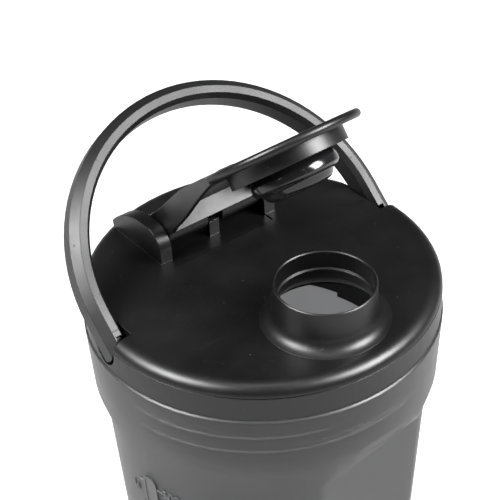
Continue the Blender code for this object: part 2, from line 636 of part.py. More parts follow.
def make_whisk_ball(material):
    """One steel wire wound pole to pole on a sphere; it rests on the floor of the cup."""
    curve = bpy.data.curves.new("whisk_ball", "CURVE")
    curve.dimensions = "3D"
    curve.bevel_depth = WHISK_WIRE / 2
    curve.bevel_resolution = 1
    curve.use_fill_caps = True
    count = WHISK_TURNS * WHISK_POINTS_PER_TURN + 1
    spline = curve.splines.new("POLY")
    spline.points.add(count - 1)
    centre_radius = WHISK_RADIUS - WHISK_WIRE / 2
    centre_z = FLOOR_THICKNESS + GAP + WHISK_RADIUS
    end_angle = math.radians(13)
    for number, point in enumerate(spline.points):
        share = number / (count - 1)
        polar = end_angle + (math.pi - 2 * end_angle) * share
        around = 2 * math.pi * WHISK_TURNS * share
        flat = centre_radius * math.sin(polar)
        height = centre_z + centre_radius * math.cos(polar)
        point.co = (flat * math.cos(around), flat * math.sin(around), height, 1)
    whisk = evaluated(add_object("whisk_ball", curve, PARTS))
    finish(whisk, material)
    return whisk


def main():
    clear_scene()
    add_collection(PARTS)
    add_collection(CUTTERS)
    black = principled("black_satin", (0.012, 0.012, 0.013), 0.38)
    make_cup(principled("smoke_plastic", (0.13, 0.13, 0.135), 0.35))
    make_lid(black)
    make_seal(principled("seal_silicone", (0.03, 0.03, 0.03), 0.6))
    make_handle(principled("handle_satin", (0.015, 0.015, 0.016), 0.42))
    make_flip_cap(black)
    make_stopper(principled("stopper_elastomer", (0.008, 0.008, 0.008), 0.12))
    make_hinge_pin(principled("pin_steel", (0.6, 0.6, 0.6), 0.3, 1.0))
    make_whisk_ball(principled("whisk_steel", (0.65, 0.65, 0.65), 0.22, 1.0))


main()
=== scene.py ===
"""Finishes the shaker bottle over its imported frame: a frosted smoke cup with a raised volume
scale, a black satin lid with its flip cap and stopper, a carry handle, the steel parts hidden
inside, and a pale studio with two soft lights."""

import math

import bpy
from mathutils import Matrix, Vector


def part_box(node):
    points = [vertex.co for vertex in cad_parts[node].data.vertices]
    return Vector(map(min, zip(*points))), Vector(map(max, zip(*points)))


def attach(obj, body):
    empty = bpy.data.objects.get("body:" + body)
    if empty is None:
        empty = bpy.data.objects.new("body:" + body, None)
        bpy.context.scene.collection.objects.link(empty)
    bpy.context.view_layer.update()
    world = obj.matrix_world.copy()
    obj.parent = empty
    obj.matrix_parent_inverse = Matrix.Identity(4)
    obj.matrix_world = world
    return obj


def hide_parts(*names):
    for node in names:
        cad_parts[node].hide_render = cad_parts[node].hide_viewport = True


bl_info = {
    "name": "Shaker Bottle",
    "version": (1, 0, 0),
    "blender": (4, 5, 0),
    "location": "3D View > Sidebar > Shaker Bottle",
    "description": "Builds the finished shaker bottle and its studio over the packed frame",
    "category": "Object",
}

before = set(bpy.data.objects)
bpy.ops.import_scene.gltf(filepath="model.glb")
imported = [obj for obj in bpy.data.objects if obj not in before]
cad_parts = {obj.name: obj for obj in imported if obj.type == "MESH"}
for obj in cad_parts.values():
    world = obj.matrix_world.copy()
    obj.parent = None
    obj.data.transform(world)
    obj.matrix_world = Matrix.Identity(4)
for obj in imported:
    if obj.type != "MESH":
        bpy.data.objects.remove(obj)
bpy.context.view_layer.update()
MM = 0.001

# Where the parts stand, in the frame
CUP_LOW, CUP_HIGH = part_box("cup")
LID_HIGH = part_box("lid")[1]
PIN_LOW, PIN_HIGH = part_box("hinge_pin")

# The cup's straight wall, from its base to the foot of its band
BASE_RADIUS, BODY_TOP_RADIUS, BODY_TOP_Z = 39.4 * MM, 46.4 * MM, 110.5 * MM

# The lid's parting line, and the radius that only its outer wall lies beyond
PARTING_Z = CUP_HIGH.z + 7.84 * MM
PARTING_WALL_RADIUS = 49.7 * MM

# The cap's hinge, how far the cap stands open, and its stopper as it lies from the hinge when shut
HINGE = Vector((0, (PIN_LOW.y + PIN_HIGH.y) / 2, (PIN_LOW.z + PIN_HIGH.z) / 2))
CAP_OPENING = math.radians(40)
STOPPER_CENTRE = Vector((0, -52.5 * MM, -0.3 * MM))
STOPPER_RADIUS = 12.05 * MM
NUB_AZIMUTH = math.radians(-112)

# How far round the cup the ticks and numbers lie from the strip, and how deep its foot is sunk
TICK_ANGLE = math.radians(4.6)
MAIN_NUMBER_ANGLE = math.radians(10)
SECOND_NUMBER_ANGLE = math.radians(9)
MARK_SINK = 0.15 * MM

# The camera's pose: degrees round, above and about its own axis, then its place from the
# middle of the cup's rim along its right, up and back
CAMERA_ANGLES = (-36.5, 36.92, -2.39)
CAMERA_PLACE_MM = (-3.65, 14.07, 445.25)
CAMERA_LENS = 113.91

# Lights: name, azimuth, elevation, distance in metres, side in metres and watts
LIGHTS_AIM = (0, 0, 0.12)
SOFTBOXES = (
    ("left_softbox", 166, 46, 0.95, 0.46, 20),
    ("right_softbox", -54, 42, 0.95, 0.46, 22),
    ("top_softbox", -126, 84, 1.1, 0.25, 1.0),
)

# Each black finish: roughness from low to high, grain size and depth in metres, share of dust
SATIN_LID = ((0.33, 0.41), 0.00035, 0.0000025, 0.14)
GRAINED_HANDLE = ((0.38, 0.47), 0.0005, 0.000014, 0.14)
GLOSSY_STOPPER = ((0.10, 0.17), 0.0006, 0.000002, 0.12)


class ShakerSizes(bpy.types.PropertyGroup):
    edge_round: bpy.props.FloatProperty(
        name="Edge rounding", description="Radius that moulded edges appear to have",
        default=0.35 * MM, min=0.0, precision=5, unit="LENGTH")
    parting_width: bpy.props.FloatProperty(
        name="Parting line width", description="Height of the line sunk round the lid",
        default=0.3 * MM, min=0.0, precision=5, unit="LENGTH")
    parting_depth: bpy.props.FloatProperty(
        name="Parting line depth", description="How deep the line round the lid is sunk",
        default=0.35 * MM, min=0.0, precision=5, unit="LENGTH")
    scale_azimuth: bpy.props.FloatProperty(
        name="Scale direction", description="Where the volume scale stands round the cup",
        default=math.radians(-174), subtype="ANGLE")
    strip_width: bpy.props.FloatProperty(
        name="Strip width", description="Width of the volume strip",
        default=5.6 * MM, precision=5, unit="LENGTH")
    strip_low: bpy.props.FloatProperty(
        name="Strip foot", description="Height of the strip's lower end",
        default=18 * MM, precision=5, unit="LENGTH")
    strip_high: bpy.props.FloatProperty(
        name="Strip top", description="Height of the strip's upper end",
        default=104 * MM, precision=5, unit="LENGTH")
    mark_rise: bpy.props.FloatProperty(
        name="Mark height", description="How far the marks stand off the cup",
        default=0.3 * MM, precision=5, unit="LENGTH")
    number_size: bpy.props.FloatProperty(
        name="Number size", description="Size of the volume numbers",
        default=4.2 * MM, precision=5, unit="LENGTH")


class ShakerColours(bpy.types.PropertyGroup):
    cup: bpy.props.FloatVectorProperty(
        name="Cup", description="Tint of the frosted smoke plastic",
        default=(0.190, 0.191, 0.195), subtype="COLOR", min=0.0, max=1.0)
    marks: bpy.props.FloatVectorProperty(
        name="Marks", description="Colour of the raised volume scale",
        default=(0.25, 0.252, 0.257), subtype="COLOR", min=0.0, max=1.0)
    lid: bpy.props.FloatVectorProperty(
        name="Lid", description="Colour of the lid and flip cap",
        default=(0.0028, 0.0028, 0.003), subtype="COLOR", min=0.0, max=1.0)
    handle: bpy.props.FloatVectorProperty(
        name="Handle", description="Colour of the carry handle",
        default=(0.0042, 0.0042, 0.0045), subtype="COLOR", min=0.0, max=1.0)
    stopper: bpy.props.FloatVectorProperty(
        name="Stopper", description="Colour of the soft stopper",
        default=(0.006, 0.006, 0.0065), subtype="COLOR", min=0.0, max=1.0)
    seal: bpy.props.FloatVectorProperty(
        name="Seal", description="Colour of the silicone seal",
        default=(0.30, 0.30, 0.31), subtype="COLOR", min=0.0, max=1.0)
    steel: bpy.props.FloatVectorProperty(
        name="Steel", description="Colour of the pin and the whisk ball",
        default=(0.56, 0.56, 0.57), subtype="COLOR", min=0.0, max=1.0)
    floor: bpy.props.FloatVectorProperty(
        name="Floor", description="Colour of the studio floor",
        default=(0.27, 0.27, 0.27), subtype="COLOR", min=0.0, max=1.0)


# Shader nodes

def add_node(tree, kind, inputs=None, **settings):
    """A new node. inputs holds a value, or a socket to link, for each input by name or number."""
    made = tree.nodes.new(kind)
    for name, value in settings.items():
        setattr(made, name, value)
    for name, value in (inputs or {}).items():
        if isinstance(value, bpy.types.NodeSocket):
            tree.links.new(value, made.inputs[name])
        else:
            made.inputs[name].default_value = value
    return made


def maths(tree, operation, first, second=0.0, clamp=False):
    made = add_node(tree, "ShaderNodeMath", {0: first, 1: second}, operation=operation)
    made.use_clamp = clamp
    return made.outputs[0]


def remap(tree, value, low, high, to_low, to_high):
    made = add_node(tree, "ShaderNodeMapRange", {
        "Value": value, "From Min": low, "From Max": high, "To Min": to_low, "To Max": to_high})
    return made.outputs[0]


def mix_colour(tree, factor, first, second):
    made = add_node(tree, "ShaderNodeMix", data_type="RGBA")
    for number, value in ((0, factor), (6, first), (7, second)):
        if isinstance(value, bpy.types.NodeSocket):
            tree.links.new(value, made.inputs[number])
        else:
            made.inputs[number].default_value = value
    return made.outputs[2]


def new_group(name, inputs, outputs):
    """An empty shader node group, with its input and output nodes."""
    group = bpy.data.node_groups.new(name, "ShaderNodeTree")
    for label, default in inputs:
        socket = group.interface.new_socket(
            name=label, in_out="INPUT", socket_type="NodeSocketFloat")
        socket.default_value = default
    for label, kind in outputs:
        group.interface.new_socket(name=label, in_out="OUTPUT", socket_type=kind)
    return group, group.nodes.new("NodeGroupInput"), group.nodes.new("NodeGroupOutput")


def moulded_surface():
    """Fine grain of a moulded surface, and the slow changes of tone across it."""
    if "moulded surface" in bpy.data.node_groups:
        return bpy.data.node_groups["moulded surface"]
    group, given, result = new_group(
        "moulded surface",
        (("Grain Size", 0.0003), ("Mottle Size", 0.012)),
        (("Grain", "NodeSocketFloat"), ("Mottle", "NodeSocketFloat")))
    place = add_node(group, "ShaderNodeTexCoord").outputs["Object"]
    fine = maths(group, "DIVIDE", 1.0, given.outputs["Grain Size"])
    slow = maths(group, "DIVIDE", 1.0, given.outputs["Mottle Size"])
    grain = add_node(group, "ShaderNodeTexNoise", {
        "Vector": place, "Scale": fine, "Detail": 3.0, "Roughness": 0.6})
    mottle = add_node(group, "ShaderNodeTexNoise", {
        "Vector": place, "Scale": slow, "Detail": 4.0, "Roughness": 0.55})
    group.links.new(grain.outputs[0], result.inputs["Grain"])
    shade = remap(group, mottle.outputs[0], 0.3, 0.7, 0.0, 1.0)
    group.links.new(shade, result.inputs["Mottle"])
    return group


def handling_marks():
    """Specks of dust and hairline scratches, as two masks."""
    if "handling marks" in bpy.data.node_groups:
        return bpy.data.node_groups["handling marks"]
    group, given, result = new_group(
        "handling marks",
        (("Speck Spacing", 0.0025), ("Speck Radius", 0.06), ("Speck Share", 0.3)),
        (("Specks", "NodeSocketFloat"), ("Scratches", "NodeSocketFloat")))
    place = add_node(group, "ShaderNodeTexCoord").outputs["Object"]
    scale = maths(group, "DIVIDE", 1.0, given.outputs["Speck Spacing"])
    cells = add_node(group, "ShaderNodeTexVoronoi", {"Vector": place, "Scale": scale})
    near = maths(group, "LESS_THAN", cells.outputs["Distance"], given.outputs["Speck Radius"])
    chance = add_node(group, "ShaderNodeSeparateColor", {0: cells.outputs["Color"]})
    chosen = maths(group, "LESS_THAN", chance.outputs[0], given.outputs["Speck Share"])
    group.links.new(maths(group, "MULTIPLY", near, chosen), result.inputs["Specks"])
    lines = []
    for turn, stretch in ((0.6, (900, 900, 28)), (2.1, (26, 1000, 1000))):
        turned = add_node(group, "ShaderNodeMapping", {
            "Vector": place, "Rotation": (turn, turn / 2, turn), "Scale": stretch})
        streaks = add_node(group, "ShaderNodeTexNoise", {
            "Vector": turned.outputs[0], "Scale": 1.0, "Detail": 1.0})
        lines.append(remap(group, streaks.outputs[0], 0.73, 0.78, 0.0, 1.0))
    group.links.new(maths(group, "MAXIMUM", *lines), result.inputs["Scratches"])
    return group


def soft_edges():
    """The normal of an edge that is slightly rounded, and a mask of where it turns."""
    if "soft edges" in bpy.data.node_groups:
        return bpy.data.node_groups["soft edges"]
    group, given, result = new_group(
        "soft edges", (("Radius", 0.0003),),
        (("Normal", "NodeSocketVector"), ("Edge", "NodeSocketFloat")))
    rounded = add_node(group, "ShaderNodeBevel", {"Radius": given.outputs["Radius"]}, samples=6)
    face = add_node(group, "ShaderNodeNewGeometry").outputs["Normal"]
    facing = add_node(group, "ShaderNodeVectorMath", {0: rounded.outputs[0], 1: face},
                      operation="DOT_PRODUCT")
    group.links.new(rounded.outputs[0], result.inputs["Normal"])
    turning = remap(group, facing.outputs["Value"], 0.99, 0.80, 0.0, 1.0)
    group.links.new(turning, result.inputs["Edge"])
    return group


def add_group(tree, group, **inputs):
    made = add_node(tree, "ShaderNodeGroup", node_tree=group)
    for name, value in inputs.items():
        made.inputs[name.replace("_", " ").title()].default_value = value
    return made


def empty_material(name):
    material = bpy.data.materials.new(name)
    material.use_nodes = True
    return material, material.node_tree, material.node_tree.nodes["Principled BSDF"]


def shaded(colour, factor):
    return (*(min(1.0, channel * factor) for channel in colour), 1.0)


def surface_bump(tree, shader, height, normal, strength, depth):
    bump = add_node(tree, "ShaderNodeBump", {
        "Height": height, "Normal": normal, "Strength": strength, "Distance": depth})
    tree.links.new(bump.outputs[0], shader.inputs["Normal"])


def moulded_black(name, colour, roughness, grain_size, grain_depth, specks, edge_round, worn=2.6):
    """Black moulded plastic or rubber: grain, uneven sheen, dust, hairlines and paler edges."""
    material, tree, shader = empty_material(name)
    surface = add_group(tree, moulded_surface(), grain_size=grain_size, mottle_size=0.014)
    marks = add_group(tree, handling_marks(), speck_share=specks)
    edges = add_group(tree, soft_edges(), radius=edge_round)
    tone = mix_colour(tree, surface.outputs["Mottle"], shaded(colour, 0.8), shaded(colour, 1.25))
    edge = maths(tree, "MULTIPLY", edges.outputs["Edge"], surface.outputs["Mottle"])
    worn_tone = mix_colour(tree, edge, tone, shaded(colour, worn))
    dusty = mix_colour(tree, marks.outputs["Specks"], worn_tone, (0.05, 0.05, 0.048, 1))
    tree.links.new(dusty, shader.inputs["Base Color"])
    low, high = roughness
    sheen = remap(tree, surface.outputs["Mottle"], 0.0, 1.0, low, high)
    scratched = maths(tree, "MULTIPLY", marks.outputs["Scratches"], 0.12)
    tree.links.new(maths(tree, "ADD", sheen, scratched, clamp=True), shader.inputs["Roughness"])
    shader.inputs["IOR"].default_value = 1.49
    relief = maths(tree, "ADD", surface.outputs["Grain"], maths(
        tree, "MULTIPLY", marks.outputs["Scratches"], -0.8))
    surface_bump(tree, shader, relief, edges.outputs["Normal"], 0.5, grain_depth)
    return material


def smoke_plastic(colour, edge_round):
    """Frosted smoke plastic that light passes through."""
    material, tree, shader = empty_material("frosted_smoke_plastic")
    surface = add_group(tree, moulded_surface(), grain_size=0.0005, mottle_size=0.02)
    marks = add_group(tree, handling_marks(), speck_share=0.15)
    edges = add_group(tree, soft_edges(), radius=edge_round)
    tone = mix_colour(tree, surface.outputs["Mottle"], shaded(colour, 0.93), shaded(colour, 1.06))
    tree.links.new(tone, shader.inputs["Base Color"])
    frost = remap(tree, surface.outputs["Mottle"], 0.0, 1.0, 0.31, 0.37)
    rubbed = maths(tree, "MULTIPLY", marks.outputs["Scratches"], 0.05)
    tree.links.new(maths(tree, "ADD", frost, rubbed, clamp=True), shader.inputs["Roughness"])
    shader.inputs["Transmission Weight"].default_value = 1.0
    shader.inputs["IOR"].default_value = 1.49
    surface_bump(tree, shader, surface.outputs["Grain"], edges.outputs["Normal"], 0.3, 0.000008)
    return material


def raised_marks(colour, edge_round):
    """The cup's plastic where it is moulded proud: paler and more scattered."""
    material, tree, shader = empty_material("raised_marks")
    surface = add_group(tree, moulded_surface(), grain_size=0.0004, mottle_size=0.006)
    edges = add_group(tree, soft_edges(), radius=edge_round)
    tone = mix_colour(tree, surface.outputs["Mottle"], shaded(colour, 0.85), shaded(colour, 1.1))
    tree.links.new(tone, shader.inputs["Base Color"])
    frost = remap(tree, surface.outputs["Mottle"], 0.0, 1.0, 0.38, 0.5)
    tree.links.new(frost, shader.inputs["Roughness"])
    shader.inputs["Transmission Weight"].default_value = 0.75
    shader.inputs["IOR"].default_value = 1.49
    surface_bump(tree, shader, surface.outputs["Grain"], edges.outputs["Normal"], 0.3, 0.000008)
    return material


def drawn_steel(colour):
    """Stainless wire and pin, with the fine lines of drawing and a few dull patches."""
    material, tree, shader = empty_material("drawn_steel")
    surface = add_group(tree, moulded_surface(), grain_size=0.0002, mottle_size=0.004)
    marks = add_group(tree, handling_marks(), speck_share=0.1)
    tone = mix_colour(tree, surface.outputs["Mottle"], shaded(colour, 0.85), shaded(colour, 1.1))
    tree.links.new(tone, shader.inputs["Base Color"])
    sheen = remap(tree, surface.outputs["Mottle"], 0.0, 1.0, 0.18, 0.32)
    tree.links.new(sheen, shader.inputs["Roughness"])
    shader.inputs["Metallic"].default_value = 1.0
    relief = maths(tree, "ADD", surface.outputs["Grain"], marks.outputs["Scratches"])
    bump = add_node(tree, "ShaderNodeBump", {
        "Height": relief, "Strength": 0.3, "Distance": 0.00003})
    tree.links.new(bump.outputs[0], shader.inputs["Normal"])
    return material


def seal_silicone(colour):
    """Soft grey silicone with a dull, slightly dusty skin."""
    material, tree, shader = empty_material("soft_seal_silicone")
    surface = add_group(tree, moulded_surface(), grain_size=0.0004, mottle_size=0.008)
    marks = add_group(tree, handling_marks(), speck_share=0.5)
    tone = mix_colour(tree, surface.outputs["Mottle"], shaded(colour, 0.9), shaded(colour, 1.1))
    dusty = mix_colour(tree, marks.outputs["Specks"], tone, shaded(colour, 1.7))
    tree.links.new(dusty, shader.inputs["Base Color"])
    sheen = remap(tree, surface.outputs["Mottle"], 0.0, 1.0, 0.45, 0.6)
    tree.links.new(sheen, shader.inputs["Roughness"])
    bump = add_node(tree, "ShaderNodeBump", {
        "Height": surface.outputs["Grain"], "Strength": 0.4, "Distance": 0.00004})
    tree.links.new(bump.outputs[0], shader.inputs["Normal"])
    return material


# Modelling

def only(obj):
    """Selects this object alone and makes it the active one."""
    bpy.ops.object.select_all(action="DESELECT")
    obj.select_set(True)
    bpy.context.view_layer.objects.active = obj


def merged_copy(node, name):
    """The node's shape as a new piece, its loose triangles joined up."""
    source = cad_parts[node].data
    mesh = bpy.data.meshes.new(name)
    points = [vertex.co[:] for vertex in source.vertices]
    mesh.from_pydata(points, [], [face.vertices[:] for face in source.polygons])
    piece = bpy.data.objects.new(name, mesh)
    bpy.context.scene.collection.objects.link(piece)
    only(piece)
    bpy.ops.object.mode_set(mode="EDIT")
    bpy.ops.mesh.select_all(action="SELECT")
    bpy.ops.mesh.remove_doubles(threshold=1e-6)
    bpy.ops.object.mode_set(mode="OBJECT")
    return piece


def smooth(piece, angle=32):
    only(piece)
    bpy.ops.object.shade_smooth_by_angle(angle=math.radians(angle))
    weighted = piece.modifiers.new("even shading", "WEIGHTED_NORMAL")
    weighted.keep_sharp = True


def dress(piece, material, body, slot, *nodes):
    """Gives the piece its finish and the body it moves with, and hides the nodes it stands for."""
    piece.data.materials.clear()
    piece.data.materials.append(material)
    if nodes:
        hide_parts(*nodes)
    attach(piece, body)


def sunk_line(piece, height, width, depth, wall_radius):
    """Sinks a shallow line round the outer wall at this height."""
    only(piece)
    bpy.ops.object.mode_set(mode="EDIT")
    for level in (height - width / 2, height + width / 2):
        bpy.ops.mesh.select_all(action="SELECT")
        bpy.ops.mesh.bisect(plane_co=(0, 0, level), plane_no=(0, 0, 1))
    bpy.ops.mesh.select_all(action="DESELECT")
    bpy.ops.mesh.select_mode(type="FACE")
    bpy.ops.object.mode_set(mode="OBJECT")
    found = 0
    for face in piece.data.polygons:
        x, y, z = face.center
        inside = abs(z - height) < width / 2 and math.hypot(x, y) > wall_radius
        face.select = inside
        found += inside
    if not found:
        raise RuntimeError("the lid's wall has no face at its parting line")
    bpy.ops.object.mode_set(mode="EDIT")
    bpy.ops.mesh.extrude_region_move()
    inward = 1 - depth / LID_HIGH.x
    bpy.ops.transform.resize(value=(inward, inward, 1), center_override=(0, 0, height))
    bpy.ops.object.mode_set(mode="OBJECT")


def cup_place(azimuth, height):
    """The frame of a point on the cup's wall: across, up the wall, and outwards."""
    slope = math.atan2(BODY_TOP_RADIUS - BASE_RADIUS, BODY_TOP_Z)
    radius = BASE_RADIUS + (BODY_TOP_RADIUS - BASE_RADIUS) * height / BODY_TOP_Z
    across = Vector((-math.sin(azimuth), math.cos(azimuth), 0))
    out = Vector((math.cos(azimuth) * math.cos(slope), math.sin(azimuth) * math.cos(slope),
                  -math.sin(slope)))
    up = out.cross(across)
    place = Matrix((across, up, out)).transposed().to_4x4()
    place.translation = (radius * math.cos(azimuth), radius * math.sin(azimuth), height)
    return place


def raised_tablet(name, width, length, corner, rise, rim=0.0):
    """A flat tablet with round corners, raised off its base; with a rim, its middle is sunk."""
    bpy.ops.object.select_all(action="DESELECT")
    bpy.ops.mesh.primitive_plane_add(size=1, location=(0, 0, 0))
    piece = bpy.context.object
    piece.name = piece.data.name = name
    bpy.ops.object.mode_set(mode="EDIT")
    bpy.ops.mesh.select_all(action="SELECT")
    bpy.ops.transform.resize(value=(width, length, 1))
    bpy.ops.mesh.bevel(offset=corner, segments=6, affect="VERTICES")
    bpy.ops.mesh.select_all(action="SELECT")
    bpy.ops.mesh.extrude_region_move(TRANSFORM_OT_translate={"value": (0, 0, rise)})
    if rim:
        bpy.ops.mesh.inset(thickness=rim, depth=0)
        bpy.ops.mesh.inset(thickness=rim / 4, depth=-rise * 0.7)
    bpy.ops.mesh.select_all(action="SELECT")
    bpy.ops.mesh.normals_make_consistent(inside=False)
    bpy.ops.object.mode_set(mode="OBJECT")
    return piece


def number_piece(text, size, rise):
    """A raised number, centred on its own origin."""
    bpy.ops.object.select_all(action="DESELECT")
    bpy.ops.object.text_add(location=(0, 0, 0))
    piece = bpy.context.object
    piece.data.body = text
    piece.data.size = size
    piece.data.align_x, piece.data.align_y = "CENTER", "CENTER"
    piece.data.extrude = rise / 2
    piece.data.resolution_u = 3
    bpy.ops.object.convert(target="MESH")
    bpy.ops.object.mode_set(mode="EDIT")
    bpy.ops.mesh.select_all(action="SELECT")
    bpy.ops.mesh.remove_doubles(threshold=1e-6)
    bpy.ops.mesh.normals_make_consistent(inside=False)
    bpy.ops.transform.translate(value=(0, 0, rise / 2))
    bpy.ops.object.mode_set(mode="OBJECT")
    return piece


def joined(pieces, name):
    bpy.ops.object.select_all(action="DESELECT")
    for piece in pieces:
        piece.select_set(True)
    bpy.context.view_layer.objects.active = pieces[0]
    bpy.ops.object.join()
    result = bpy.context.object
    result.name = result.data.name = name
    return result


def aimed(name, light_or_camera, place, target):
    """An object looking from its place at a target."""
    obj = bpy.data.objects.new(name, light_or_camera)
    bpy.context.scene.collection.objects.link(obj)
    obj.location = place
    obj.rotation_euler = (Vector(target) - Vector(place)).to_track_quat("-Z", "Y").to_euler()
    return obj


def shared_material(name, make):
    return bpy.data.materials.get(name) or make()


def lid_black(context):
    sizes, colours = context.scene.shaker_sizes, context.scene.shaker_colours
    return shared_material("satin_lid_plastic", lambda: moulded_black(
        "satin_lid_plastic", colours.lid, *SATIN_LID, sizes.edge_round))


def steel(context):
    return shared_material("drawn_steel", lambda: drawn_steel(context.scene.shaker_colours.steel))


def marks_plastic(context):
    sizes, colours = context.scene.shaker_sizes, context.scene.shaker_colours
    return shared_material(
        "raised_marks", lambda: raised_marks(colours.marks, sizes.edge_round / 3))


class SHAKER_OT_stage(bpy.types.Operator):
    """Lays the pale floor and sets the soft lights and the camera"""
    bl_idname = "shaker.build_stage"
    bl_label = "Studio"

    def execute(self, context):
        self.lay_floor(context)
        self.set_lights(context)
        self.set_camera(context)
        return {"FINISHED"}

    def lay_floor(self, context):
        bpy.ops.object.select_all(action="DESELECT")
        bpy.ops.mesh.primitive_plane_add(size=6, location=(0, 0, CUP_LOW.z - 0.0002))
        floor = context.object
        floor.name = floor.data.name = "studio_floor"
        material, tree, shader = empty_material("pale_floor")
        surface = add_group(tree, moulded_surface(), grain_size=0.002, mottle_size=0.4)
        colour = context.scene.shaker_colours.floor
        tone = mix_colour(
            tree, surface.outputs["Mottle"], shaded(colour, 0.99), shaded(colour, 1.01))
        tree.links.new(tone, shader.inputs["Base Color"])
        shader.inputs["Roughness"].default_value = 0.9
        shader.inputs["Specular IOR Level"].default_value = 0.0
        shader.inputs["Emission Color"].default_value = (1, 1, 1, 1)
        path = add_node(tree, "ShaderNodeLightPath")
        mirrored = maths(tree, "MULTIPLY", path.outputs["Is Glossy Ray"], -0.5)
        tree.links.new(maths(tree, "ADD", mirrored, 0.9), shader.inputs["Emission Strength"])
        floor.data.materials.append(material)

    def set_lights(self, context):
        world = bpy.data.worlds.new("studio")
        context.scene.world = world
        world.use_nodes = True
        backdrop = world.node_tree.nodes["Background"]
        backdrop.inputs["Color"].default_value = (1, 1, 1, 1)
        seen = add_node(world.node_tree, "ShaderNodeLightPath").outputs["Is Camera Ray"]
        strength = remap(world.node_tree, seen, 0.0, 1.0, 0.12, 0.95)
        world.node_tree.links.new(strength, backdrop.inputs["Strength"])
        for name, azimuth, elevation, distance, side, power in SOFTBOXES:
            light = bpy.data.lights.new(name, "AREA")
            light.shape = "SQUARE"
            light.size = side
            light.energy = power
            a, e = math.radians(azimuth), math.radians(elevation)
            place = Vector(LIGHTS_AIM) + distance * Vector(
                (math.cos(a) * math.cos(e), math.sin(a) * math.cos(e), math.sin(e)))
            aimed(name, light, place, LIGHTS_AIM)

    def set_camera(self, context):
        azimuth, elevation, roll = (math.radians(angle) for angle in CAMERA_ANGLES)
        back = Vector((math.sin(azimuth) * math.cos(elevation),
                       -math.cos(azimuth) * math.cos(elevation), math.sin(elevation)))
        level = Vector((math.cos(azimuth), math.sin(azimuth), 0))
        above = back.cross(level)
        right = level * math.cos(roll) + above * math.sin(roll)
        up = above * math.cos(roll) - level * math.sin(roll)
        camera = bpy.data.cameras.new("studio_camera")
        camera.sensor_width = 36
        camera.lens = CAMERA_LENS
        camera.clip_start = 0.01
        obj = bpy.data.objects.new("studio_camera", camera)
        context.scene.collection.objects.link(obj)
        place = Matrix((right, up, back)).transposed().to_4x4()
        along, above_rim, away = CAMERA_PLACE_MM
        offset = (along * right + above_rim * up + away * back) * MM
        place.translation = offset + Vector((0, 0, CUP_HIGH.z))
        obj.matrix_world = place
        context.scene.camera = obj
        context.scene.view_settings.view_transform = "Standard"


class SHAKER_OT_cup(bpy.types.Operator):
    """Builds the frosted smoke cup"""
    bl_idname = "shaker.build_cup"
    bl_label = "Cup"

    def execute(self, context):
        sizes, colours = context.scene.shaker_sizes, context.scene.shaker_colours
        piece = merged_copy("cup", "cup_body")
        smooth(piece)
        finish = smoke_plastic(colours.cup, sizes.edge_round * 1.6)
        dress(piece, finish, "cup", "smoke_plastic", "cup")
        return {"FINISHED"}


class SHAKER_OT_volume_marks(bpy.types.Operator):
    """Moulds the volume strip, its ticks and its numbers on the side of the cup"""
    bl_idname = "shaker.build_volume_marks"
    bl_label = "Volume Marks"
    first_z: bpy.props.FloatProperty(
        name="Top number", description="Height of the highest number",
        default=101 * MM, unit="LENGTH")
    step_z: bpy.props.FloatProperty(
        name="Number spacing", description="Height between numbers",
        default=18.6 * MM, unit="LENGTH")
    second_drop: bpy.props.FloatProperty(
        name="Second scale drop", description="How far the second scale starts below the first",
        default=5 * MM, unit="LENGTH")
    second_step: bpy.props.FloatProperty(
        name="Second scale spacing", description="Height between the second scale's numbers",
        default=22 * MM, unit="LENGTH")

    def execute(self, context):
        sizes = context.scene.shaker_sizes
        material = marks_plastic(context)
        facing = sizes.scale_azimuth
        middle = (sizes.strip_low + sizes.strip_high) / 2
        length = sizes.strip_high - sizes.strip_low
        strip = raised_tablet("volume_strip", sizes.strip_width, length, 2.2 * MM,
                              sizes.mark_rise + MARK_SINK, 0.7 * MM)
        strip.data.transform(cup_place(facing, middle) @ Matrix.Translation((0, 0, -MARK_SINK)))
        tick = raised_tablet("tick", 2.2 * MM, 0.4 * MM, 0.15 * MM, sizes.mark_rise)
        ticks = []
        for number in range(9):
            height = self.first_z - number * self.step_z / 2
            for side, share in ((1, 1.0 if number % 2 == 0 else 0.6), (-1, 0.75)):
                place = cup_place(facing + side * TICK_ANGLE, height)
                made = bpy.data.objects.new("tick", tick.data.copy())
                context.scene.collection.objects.link(made)
                made.data.transform(place @ Matrix.Diagonal((share, 1, 1, 1)))
                ticks.append(made)
        bpy.data.objects.remove(tick)
        numbers = []
        for number in range(5):
            text = number_piece(str(500 - 100 * number), sizes.number_size, sizes.mark_rise)
            height = self.first_z - number * self.step_z
            text.data.transform(cup_place(facing + MAIN_NUMBER_ANGLE, height))
            numbers.append(text)
        for number, amount in enumerate((16, 12, 8, 4)):
            text = number_piece(str(amount), sizes.number_size * 0.85, sizes.mark_rise)
            height = self.first_z - self.second_drop - number * self.second_step
            text.data.transform(cup_place(facing - SECOND_NUMBER_ANGLE, height))
            numbers.append(text)
        for piece in (strip, joined(ticks, "volume_ticks"), joined(numbers, "volume_numbers")):
            smooth(piece, 40)
            dress(piece, material, "cup", "smoke_plastic")
        return {"FINISHED"}


class SHAKER_OT_lid(bpy.types.Operator):
    """Builds the black satin lid with the parting line round its wall"""
    bl_idname = "shaker.build_lid"
    bl_label = "Lid"

    def execute(self, context):
        sizes = context.scene.shaker_sizes
        piece = merged_copy("lid", "lid_body")
        sunk_line(
            piece, PARTING_Z, sizes.parting_width, sizes.parting_depth, PARTING_WALL_RADIUS)
        smooth(piece)
        dress(piece, lid_black(context), "lid", "black_satin", "lid")
        return {"FINISHED"}


